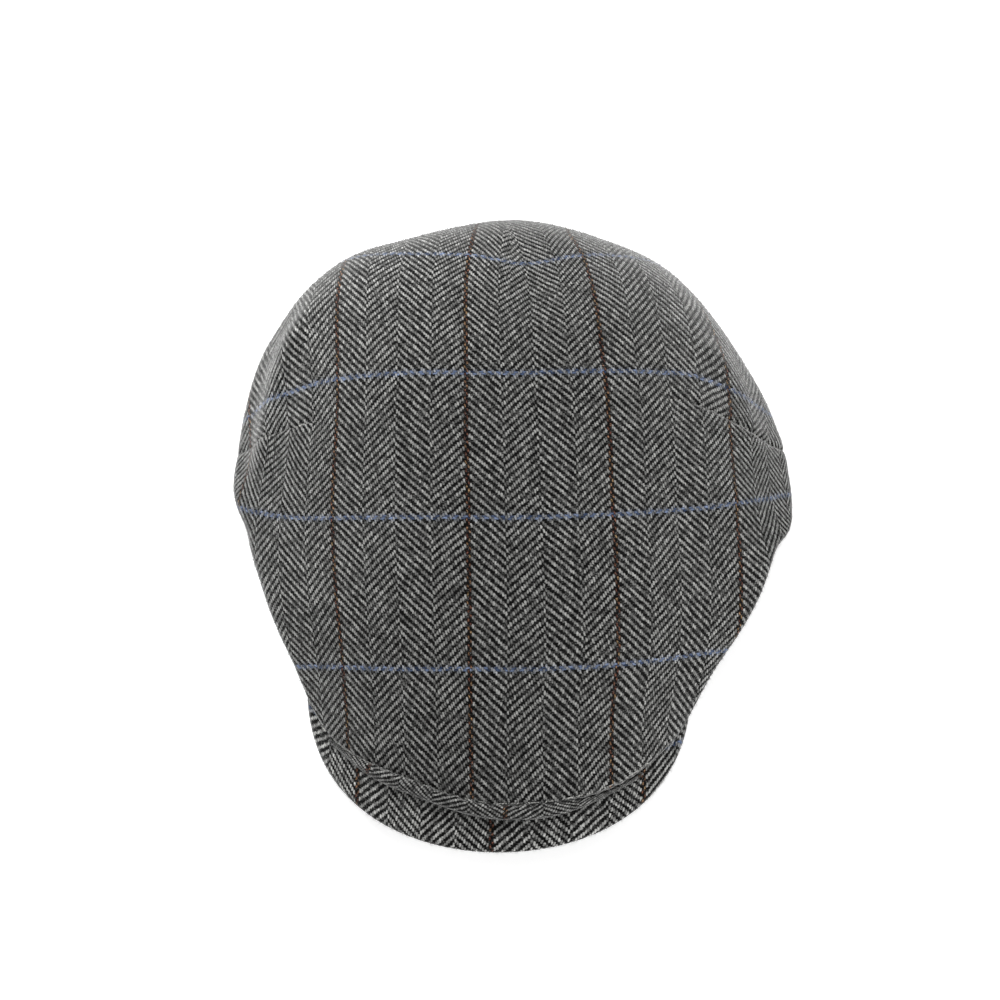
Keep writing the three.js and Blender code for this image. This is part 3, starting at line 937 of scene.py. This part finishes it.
def fibre_material(name, light, dark, grain):
    """Loose or spun wool or cotton: dry and matt, paler and darker fibre by fibre."""
    material = bpy.data.materials.new(name)
    material.use_nodes = True
    tree = material.node_tree
    tree.nodes.clear()
    place_on = add_node(tree, "ShaderNodeTexCoord")[3]
    blend = add_node(tree, "ShaderNodeTexNoise", {"Vector": place_on, "Scale": 1 / grain, "Detail": 1})[0]

    # The noise keeps near its middle, so it is stretched to reach both colours.
    blend = add_node(tree, MATH, (blend, 3, -1), operation="MULTIPLY_ADD", use_clamp=True)[0]
    colour = add_node(tree, MIX, (blend, (*dark, 1), (*light, 1)), data_type="RGBA")[0]
    inputs = {"Base Color": colour, "Roughness": 0.95, "Specular IOR Level": 0.05}
    shader = add_node(tree, "ShaderNodeBsdfPrincipled", inputs)[0]
    add_node(tree, "ShaderNodeOutputMaterial", {"Surface": shader})
    return material


def new_tree(name, inputs):
    """A geometry tree with named inputs, and its input sockets by name."""
    tree = bpy.data.node_groups.new(name, "GeometryNodeTree")
    tree.interface.new_socket("Geometry", in_out="OUTPUT", socket_type="NodeSocketGeometry")
    tree.interface.new_socket("Geometry", in_out="INPUT", socket_type="NodeSocketGeometry")
    for key, kind in inputs.items():
        tree.interface.new_socket(key, in_out="INPUT", socket_type=kind)
    return tree, {socket.name: socket for socket in add_node(tree, "NodeGroupInput")}


def finish_tree(tree, placed, material):
    """Ends a tree with its instances made real and given their material."""
    made = add_node(tree, "GeometryNodeRealizeInstances", (placed,))[0]
    made = add_node(tree, "GeometryNodeSetMaterial", {"Geometry": made, "Material": material})[0]
    add_node(tree, "NodeGroupOutput", (made,))


def nap_tree():
    """Loose fibres on the outside of a cloth: fine cones that lean over in all directions."""
    sizes = {key: "NodeSocketFloat" for key in ("Density", "Length", "Radius", "Least lean", "Most lean")}
    kinds = {**sizes, "Seed": "NodeSocketInt", "Material": "NodeSocketMaterial"}
    tree, coming = new_tree("wool_nap", kinds)
    napped = add_node(tree, "GeometryNodeInputNamedAttribute", {"Name": "napped"}, data_type="BOOLEAN")[0]
    spread = {key: coming[key] for key in ("Density", "Seed")}
    spread.update({"Mesh": coming["Geometry"], "Selection": napped})
    points, _, standing = add_node(tree, "GeometryNodeDistributePointsOnFaces", spread)
    shape = {"Vertices": 3, "Radius Top": 0, "Radius Bottom": coming["Radius"], "Depth": coming["Length"]}
    fibre = add_node(tree, "GeometryNodeMeshCone", shape, fill_type="NONE")[0]
    least = add_node(tree, "ShaderNodeCombineXYZ", (coming["Least lean"], 0, 0))[0]
    most = add_node(tree, "ShaderNodeCombineXYZ", (coming["Most lean"], 0, 2 * np.pi))[0]
    chance = {0: least, 1: most, "Seed": coming["Seed"]}
    lean = add_node(tree, "FunctionNodeRandomValue", chance, data_type="FLOAT_VECTOR")[0]
    lean = add_node(tree, "FunctionNodeEulerToRotation", (lean,))[0]
    turned = add_node(tree, "FunctionNodeRotateRotation", (standing, lean), rotation_space="LOCAL")[0]
    chance = {0: (1, 1, NAP_VARIES[0]), 1: (1, 1, NAP_VARIES[1]), "Seed": 1}
    size = add_node(tree, "FunctionNodeRandomValue", chance, data_type="FLOAT_VECTOR")[0]
    inputs = {"Points": points, "Instance": fibre, "Rotation": turned, "Scale": size}
    placed = add_node(tree, "GeometryNodeInstanceOnPoints", inputs)[0]
    finish_tree(tree, placed, coming["Material"])
    return tree


def seam_tree():
    """A row of stitches or of threads pulled up along a seam: round beads, leaning to either side."""
    sizes = {key: "NodeSocketFloat" for key in ("Spacing", "Length", "Width", "Lean", "Share")}
    kinds = {**sizes, "Seed": "NodeSocketInt", "Material": "NodeSocketMaterial"}
    tree, coming = new_tree("seam_row", kinds)
    line = add_node(tree, "GeometryNodeMeshToCurve", {"Mesh": coming["Geometry"]})[0]
    inputs = {"Curve": line, "Length": coming["Spacing"]}
    line = add_node(tree, "GeometryNodeResampleCurve", inputs, mode="LENGTH")[0]
    along = add_node(tree, "GeometryNodeInputTangent")[0]
    straight = add_node(tree, "FunctionNodeAlignRotationToVector", {"Vector": along}, axis="X")[0]
    other_way = add_node(tree, MATH, (coming["Lean"], -1), operation="MULTIPLY")[0]
    chance = {0: other_way, 1: coming["Lean"], "Seed": coming["Seed"]}
    lean = add_node(tree, "FunctionNodeRandomValue", chance, data_type="FLOAT")[0]
    lean = add_node(tree, "ShaderNodeCombineXYZ", (0, 0, lean))[0]
    lean = add_node(tree, "FunctionNodeEulerToRotation", (lean,))[0]
    turned = add_node(tree, "FunctionNodeRotateRotation", (straight, lean), rotation_space="LOCAL")[0]
    bead = add_node(tree, "GeometryNodeMeshUVSphere", {"Segments": 6, "Rings": 4, "Radius": 0.5})[0]
    size = add_node(tree, "ShaderNodeCombineXYZ", (coming["Length"], coming["Width"], coming["Width"]))[0]
    chance = {0: BEAD_VARIES[0], 1: BEAD_VARIES[1], "Seed": 1}
    vary = add_node(tree, "FunctionNodeRandomValue", chance, data_type="FLOAT")[0]
    size = add_node(tree, VECTOR, (size, vary), operation="SCALE")[0]
    chance = {"Probability": coming["Share"], "Seed": coming["Seed"]}
    shown = add_node(tree, "FunctionNodeRandomValue", chance, data_type="BOOLEAN")[0]
    inputs = {"Points": line, "Selection": shown, "Instance": bead, "Rotation": turned, "Scale": size}
    placed = add_node(tree, "GeometryNodeInstanceOnPoints", inputs)[0]
    finish_tree(tree, placed, coming["Material"])
    return tree


def grow(name, mesh, tree, values):
    """A plain mesh object, made from a mesh by a geometry tree."""
    piece = bpy.data.objects.new(name, mesh)
    bpy.context.scene.collection.objects.link(piece)
    modifier = piece.modifiers.new(tree.name, "NODES")
    modifier.node_group = tree
    for socket in tree.interface.items_tree:
        if socket.in_out == "INPUT" and socket.name in values:
            modifier[socket.identifier] = values[socket.name]
    evaluated = piece.evaluated_get(bpy.context.evaluated_depsgraph_get())
    made = bpy.data.meshes.new_from_object(evaluated)
    piece.modifiers.clear()
    piece.data = made
    made.name = name
    return piece


class FLATCAP_OT_stage(bpy.types.Operator):
    """Sets the white floor, the soft light and the camera"""

    bl_idname = "flatcap.stage"
    bl_label = "Set the stage"

    def execute(self, context):
        stage = context.scene.flatcap_stage
        scene = context.scene
        scene.view_settings.view_transform = "Standard"
        world = bpy.data.worlds.new("white_studio")
        world.use_nodes = True
        world.node_tree.nodes["Background"].inputs["Color"].default_value = (1, 1, 1, 1)
        world.node_tree.nodes["Background"].inputs["Strength"].default_value = stage.sky
        scene.world = world

        mesh = bpy.data.meshes.new("floor")
        half = FLOOR_HALF
        corners = [(-half, -half, 0), (half, -half, 0), (half, half, 0), (-half, half, 0)]
        mesh.from_pydata(corners, [], [(0, 1, 2, 3)])
        mesh.materials.append(paper_material(stage.floor_glow))
        floor = bpy.data.objects.new("floor", mesh)
        scene.collection.objects.link(floor)

        for name, (location, size, share) in SOFTBOXES.items():
            light = bpy.data.lights.new(name, "AREA")
            light.shape = "DISK"
            light.size = size
            light.energy = stage.key * share
            lamp = bpy.data.objects.new(name, light)
            lamp.location = location
            lamp.rotation_euler = (-lamp.location).to_track_quat("-Z", "Y").to_euler()
            scene.collection.objects.link(lamp)

        lens = bpy.data.cameras.new("camera")
        lens.lens = stage.lens
        camera = bpy.data.objects.new("camera", lens)
        aim = np.array(stage.aim)
        back = np.array([0, -np.cos(stage.elevation), np.sin(stage.elevation)])
        camera.location = aim + back * stage.distance
        camera.rotation_euler = (np.pi / 2 - stage.elevation, 0, 0)
        scene.collection.objects.link(camera)
        scene.camera = camera
        return {"FINISHED"}


def crown_form(sewing):
    """Directions of the crown's columns, and grids of its directions, distances, outside and inside."""
    cloth, hem = sewing.cloth / MM, sewing.hem / MM
    direction = crown_directions()
    distance, height = crown_outline(direction, cloth, hem)
    rows = even_rows(distance, height, CROWN_ROWS, HEM_ROUND)
    slanted = slant_to_darts(direction, rows[2])
    round_it = np.concatenate([direction - 360, direction, direction + 360])
    near, high, along = [
        np.stack([np.interp(to, round_it, np.tile(row, 3)) for to, row in zip(slanted.T, grid.T)], axis=1)
        for grid in rows
    ]
    smooth_form = place(slanted, near, high)
    normal = surface_normals(smooth_form)
    relief = crown_relief(direction, near, along, sewing)
    outside = smooth_form + normal * relief[..., None] * MM
    outside[..., 2] = np.maximum(outside[..., 2], HEM_ROUND * MM)

    # Inside, the cloth's thickness grows by a step at the turned hem.
    _, _, edge_thick = crown_edge(direction, cloth, hem)
    from_edge = along[:, -1:] - along
    turned = 1 - smooth(from_edge, sewing.hem_depth / MM - HEM_STEP, sewing.hem_depth / MM)
    thick = cloth + (edge_thick[:, None] - cloth) * turned
    inside = outside - normal * thick[..., None] * MM
    inside[..., 2] = np.maximum(inside[..., 2], HEM_ROUND * MM)
    inside[:, -1, 2] = outside[:, -1, 2]
    return direction, slanted, along, outside, inside


class FLATCAP_OT_crown(bpy.types.Operator):
    """Makes the one-piece crown: shaped cloth with three darts and a turned hem at the rim"""

    bl_idname = "flatcap.crown"
    bl_label = "Make the crown"

    def execute(self, context):
        direction, slanted, along, outside, inside = crown_form(context.scene.flatcap_sewing)

        # The hem is rounded between the two.
        middle = (outside[:, -1] + inside[:, -1]) / 2
        turn = np.linspace(0, np.pi, HEM_POINTS)[1:-1]
        hem_rows = [
            middle + (outside[:, -1] - middle) * np.cos(t) - np.array([0, 0, HEM_ROUND * MM]) * np.sin(t)
            for t in turn
        ]
        hem_rows = np.stack(hem_rows, axis=1)
        inside_rows = inside[:, ::-INSIDE_STEP][:, :-1]
        sheet = np.concatenate([outside[:, 1:], hem_rows, inside_rows], axis=1)
        columns, rows = sheet.shape[:2]

        lengths, towards = [
            np.hstack(
                [grid[:, 1:], np.repeat(grid[:, -1:], len(turn), axis=1), grid[:, ::-INSIDE_STEP][:, :-1]]
            )
            for grid in (along, slanted)
        ]
        points = np.concatenate([outside[:1, 0], inside[:1, 0], sheet.reshape(-1, 3)])
        quads = grid_faces(2, columns, rows)
        ring = 2 + np.arange(columns) * rows
        top_fan = np.stack([np.zeros(columns, int), ring, np.roll(ring, -1)], axis=1)
        under = ring + rows - 1
        under_fan = np.stack([np.ones(columns, int), np.roll(under, -1), under], axis=1)

        # The cloth breaks at a dart's seam, so a column is laid a touch after and before itself.
        nudge = 0.01
        after = lay_cloth(direction[:, None] + nudge, towards, lengths)
        before = np.roll(lay_cloth(direction[:, None] - nudge, towards, lengths), -1, axis=0)
        quad_uv = np.stack([after[:, :-1], after[:, 1:], before[:, 1:], before[:, :-1]], axis=2)
        nothing = np.zeros((1, 1))
        centre = np.broadcast_to(lay_cloth(nothing, nothing, nothing), (columns, 1, 2))[:, 0]
        top_uv = np.stack([centre, after[:, 0], before[:, 0]], axis=1)
        under_uv = np.stack([centre, before[:, -1], after[:, -1]], axis=1)
        uv = np.concatenate([quad_uv.reshape(-1, 2), top_uv.reshape(-1, 2), under_uv.reshape(-1, 2)])
        faces = quads.tolist() + top_fan.tolist() + under_fan.tolist()
        row = np.tile(np.arange(rows - 1), columns)
        shown = np.concatenate([row < outside.shape[1], np.ones(columns), np.zeros(columns)])
        material = tweed_material("crown_herringbone_tweed", context.scene.flatcap_tweed, 1)
        crown = new_piece("crown_cloth", points, faces, shown, uv, material)
        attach(crown, "root")
        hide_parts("crown")
        return {"FINISHED"}


def swept_piece(name, sections, uv, material):
    """A closed piece swept through rings of points, with a UV for each, capped at both ends."""
    count, size = sections.shape[:2]
    ring = np.arange(size)
    ahead = np.roll(ring, -1)
    near = (np.arange(count - 1) * size)[:, None]
    quads = np.stack([near + ring, near + ahead, near + size + ahead, near + size + ring], axis=-1)
    quad_uv = np.stack([uv[:-1, :-1], uv[:-1, 1:], uv[1:, 1:], uv[1:, :-1]], axis=2)
    start = ring[::-1]
    end = (count - 1) * size + ring
    cap_uv = [uv[0, :-1][::-1], uv[-1, :-1]]
    faces = quads.reshape(-1, 4).tolist() + [start.tolist(), end.tolist()]
    uv = np.concatenate([quad_uv.reshape(-1, 2), *cap_uv])
    return new_piece(name, sections.reshape(-1, 3), faces, np.ones(len(faces)), uv, material)


class FLATCAP_OT_front_roll(bpy.types.Operator):
    """Makes the rolled strip along the crown's front edge"""

    bl_idname = "flatcap.front_roll"
    bl_label = "Make the front roll"

    def execute(self, context):
        sewing = context.scene.flatcap_sewing
        direction = np.linspace(ROLL_LEFT_END, ROLL_RIGHT_END, ROLL_COLUMNS)
        toward_end = np.linspace(-1, 1, len(direction))
        thinned = smooth(-toward_end, *ROLL_THINS_LEFT) + smooth(toward_end, *ROLL_THINS_RIGHT)
        size = 1 + (ROLL_END_SHARE - 1) * thinned
        half_width = (ROLL_WIDTH / 2 * size)[:, None]
        half_height = (ROLL_HEIGHT / 2 * size)[:, None]
        turn = np.linspace(0, 2 * np.pi, ROLL_POINTS)[None]
        length = front_seam_length(direction)
        pulled = seam_puckers(length, sewing.stitch_spacing / MM)[:, None]
        out, up = np.sin(turn), np.cos(turn)
        flat = smooth(direction, *ROLL_FLATTENS)[:, None]
        power = 1 + (np.where(up > 0, ROLL_RAMP, ROLL_FOOT) - 1) * flat
        power = np.where(out > 0, power, np.where(up > 0, ROLL_SQUARED, 1))
        out = np.sign(out) * np.abs(out) ** power
        up = np.sign(up) * np.abs(up) ** power
        from_pinch = np.angle(np.exp(1j * (turn - ROLL_PINCH_AT)))
        pinch = 1 - ROLL_PINCH * pulled * np.exp(-((from_pinch / ROLL_PINCH_WIDTH) ** 2))
        centre = fold_reach(direction)[:, None] + SEAM_GAP + half_width
        distance = centre + half_width * out * pinch
        lying = peak_top(direction[:, None], distance) + SEAM_GAP + half_height
        points = place(direction[:, None], distance, lying + half_height * up * pinch)
        step = np.linalg.norm(np.diff(points[len(points) // 2], axis=0), axis=1)
        round_it = np.concatenate([[0], np.cumsum(step)])
        u = np.broadcast_to(length[:, None] * MM * ROLL_GATHER, points.shape[:2])
        v = np.broadcast_to(round_it[None] * ROLL_GATHER_ROUND + ROLL_CHECK_BEHIND * MM, points.shape[:2])
        material = tweed_material("front_roll_herringbone_tweed", context.scene.flatcap_tweed, 1)
        roll = swept_piece("front_roll_cloth", points[:, :-1], np.stack([u, v], axis=-1), material)
        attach(roll, "root")
        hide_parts("front_roll")
        return {"FINISHED"}


class FLATCAP_OT_peak(bpy.types.Operator):
    """Makes the stiff peak, covered in tweed that runs the other way"""

    bl_idname = "flatcap.peak"
    bl_label = "Make the peak"

    def execute(self, context):
        hem = context.scene.flatcap_sewing.hem / MM
        half = PEAK_THICKNESS / 2
        direction = np.linspace(-PEAK_HORN, PEAK_HORN, PEAK_COLUMNS)[:, None]
        inner = reach_to(RIM, direction) - hem
        outer = reach_to(PEAK, direction) - half
        face = inner + (outer - inner) * np.linspace(0, 1, PEAK_ROWS)[None, :-1]
        turn = np.linspace(np.pi / 2, -np.pi / 2, PEAK_EDGE_POINTS)[None]
        distance = np.hstack([face, outer + half * np.cos(turn), face[:, ::-1]])
        rows = face.shape[1]
        above = np.hstack([np.full(rows, half), half * np.sin(turn[0]), np.full(rows, -half)])[None]
        points = place(direction, distance, peak_top(direction, distance) - half + above)

        # The cover runs over the upper side, round the outer edge, back below and up the inner edge.
        edge = outer + half * (np.pi / 2 - turn)
        below = 2 * outer + half * np.pi
        unrolled = np.hstack([face, edge, (below - face)[:, ::-1], below - inner + PEAK_THICKNESS])
        aside, behind = plan(direction, unrolled)
        arch = (aside - PEAK["aside"]) / PEAK_ARCH_RADIUS
        across = PEAK_ARCH_RADIUS / 2 * (arch * np.sqrt(1 + arch**2) + np.arcsinh(arch))
        across = across + PEAK_CHECK_ASIDE
        across = across * (PEAK_GATHER - PEAK_GATHER_SKEW * np.tanh(across / PEAK_GATHER_OVER))
        bow = np.where(aside < 0, PEAK_BOW_LEFT, PEAK_BOW_RIGHT) * np.abs(aside) ** 3
        uv = np.stack([across, -behind + PEAK_CHECK_BEHIND + bow], axis=-1) * MM
        # The peak's copy of the tweed has its warp painted lighter: partly stretched cloth, partly painted
        # light.
        material = tweed_material("peak_herringbone_tweed", context.scene.flatcap_tweed, PEAK_PAINTED_LIGHT)
        peak = swept_piece("peak_cloth", points, uv, material)
        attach(peak, "root")
        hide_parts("peak")
        return {"FINISHED"}


def line_mesh(name, lines):
    """A mesh of open lines, each through its own points."""
    mesh = bpy.data.meshes.new(name)
    points = np.concatenate(lines)
    starts = np.cumsum([0] + [len(line) for line in lines])
    edges = [(i, i + 1) for a, b in zip(starts, starts[1:]) for i in range(a, b - 1)]
    mesh.from_pydata(points.tolist(), edges, [])
    return mesh


class FLATCAP_OT_seams(bpy.types.Operator):
    """Adds the threads pulled up along the front seam and the darts, and the stitches of the hem"""

    bl_idname = "flatcap.seams"
    bl_label = "Sew the seams"

    def execute(self, context):
        nap = context.scene.flatcap_nap
        sewing = context.scene.flatcap_sewing
        direction, _, along, outside, inside = crown_form(sewing)
        wool = fibre_material("pulled_up_wool", nap.pulled, nap.light, WOOL_GRAIN * MM)
        shade = [part / THREAD_DARKENS for part in nap.thread]
        thread = fibre_material("black_cotton_thread", nap.thread, shade, THREAD_GRAIN * MM)
        tree = seam_tree()

        seam = np.linspace(*FRONT_BEADS, FRONT_BEAD_POINTS)
        front = place(seam, fold_reach(seam) + SEAM_GAP, fold_height(np.abs(seam)) + FRONT_BEAD_LIFT)
        darts = []
        for dart, _, start, *_ in zip(*DARTS.values()):
            column = np.argmin(np.abs(turned_from(direction, dart)))
            reach = fold_reach(np.array(float(dart)))
            sewn = (along[column] > start * reach) & (along[column] < DART_BEADS_END * reach)
            darts.append(outside[column][sewn])
        above_rim = along[0, -1] - along[0] - sewing.hem_depth / MM + HEM_STITCH_IN
        row = np.argmin(np.abs(above_rim))
        behind = np.abs(direction) > RIM_WHOLE
        hem = np.concatenate([inside[behind & (direction > 0), row], inside[behind & (direction < 0), row]])
        rows = {
            "front_seam_floats": ([front], nap.bead_spacing, wool),
            "dart_floats": (darts, DART_BEADS_APART * nap.bead_spacing, wool),
            "hem_stitches": ([hem], nap.hem_spacing, thread),
        }
        for name, (lines, spacing, material) in rows.items():
            length, width, lean, share = SEAM_ROWS[name]
            values = {"Spacing": spacing, "Length": length * MM, "Width": width * MM, "Lean": lean}
            values.update({"Share": share, "Seed": 2, "Material": material})
            piece = grow(name, line_mesh(name, lines), tree, values)
            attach(piece, "root")
        return {"FINISHED"}


class FLATCAP_OT_nap(bpy.types.Operator):
    bl_idname = "flatcap.nap"
    bl_label = "Raise the nap"

    def execute(self, context):
        nap = context.scene.flatcap_nap
        wool = fibre_material("loose_wool", nap.light, nap.dark, WOOL_GRAIN * MM)
        tree = nap_tree()
        values = {"Density": nap.density, "Length": nap.length, "Radius": nap.radius, "Material": wool}
        values.update({"Least lean": NAP_LEAN[0], "Most lean": NAP_LEAN[1]})
        cloths = {"crown_cloth": "crown_tweed", "front_roll_cloth": "roll_tweed", "peak_cloth": "peak_tweed"}
        for seed, (cloth, slot) in enumerate(cloths.items()):
            mesh = bpy.data.objects[cloth].data.copy()
            fibres = grow(cloth.replace("cloth", "nap"), mesh, tree, {**values, "Seed": seed})
            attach(fibres, "root")
        return {"FINISHED"}


class FLATCAP_PT_panel(bpy.types.Panel):
    """Lists the cap's settings and the steps that make it"""

    bl_idname = "FLATCAP_PT_panel"
    bl_label = "Flat cap"
    bl_space_type = "VIEW_3D"
    bl_region_type = "UI"
    bl_category = "Flat cap"

    def draw(self, context):
        for name in SETTINGS:
            group = getattr(context.scene, name)
            box = self.layout.box()
            for key in group.__annotations__:
                box.prop(group, key)
        for step in STEPS:
            self.layout.operator(step.bl_idname)


SETTINGS = {
    "flatcap_tweed": FlatCapTweed,
    "flatcap_sewing": FlatCapSewing,
    "flatcap_nap": FlatCapNap,
    "flatcap_stage": FlatCapStage,
}
STEPS = (
    FLATCAP_OT_stage,
    FLATCAP_OT_crown,
    FLATCAP_OT_front_roll,
    FLATCAP_OT_peak,
    FLATCAP_OT_seams,
    FLATCAP_OT_nap,
)


def register():
    for group in SETTINGS.values():
        bpy.utils.register_class(group)
    for step in STEPS:
        bpy.utils.register_class(step)
    bpy.utils.register_class(FLATCAP_PT_panel)
    for name, group in SETTINGS.items():
        setattr(bpy.types.Scene, name, PointerProperty(type=group))


def unregister():
    for name in SETTINGS:
        delattr(bpy.types.Scene, name)
    bpy.utils.unregister_class(FLATCAP_PT_panel)
    for step in reversed(STEPS):
        bpy.utils.unregister_class(step)
    for group in reversed(SETTINGS.values()):
        bpy.utils.unregister_class(group)


def main():
    register()
    bpy.ops.flatcap.stage()
    bpy.ops.flatcap.crown()
    bpy.ops.flatcap.front_roll()
    bpy.ops.flatcap.peak()
    bpy.ops.flatcap.seams()
    bpy.ops.flatcap.nap()


if __name__ == "__main__":
    main()
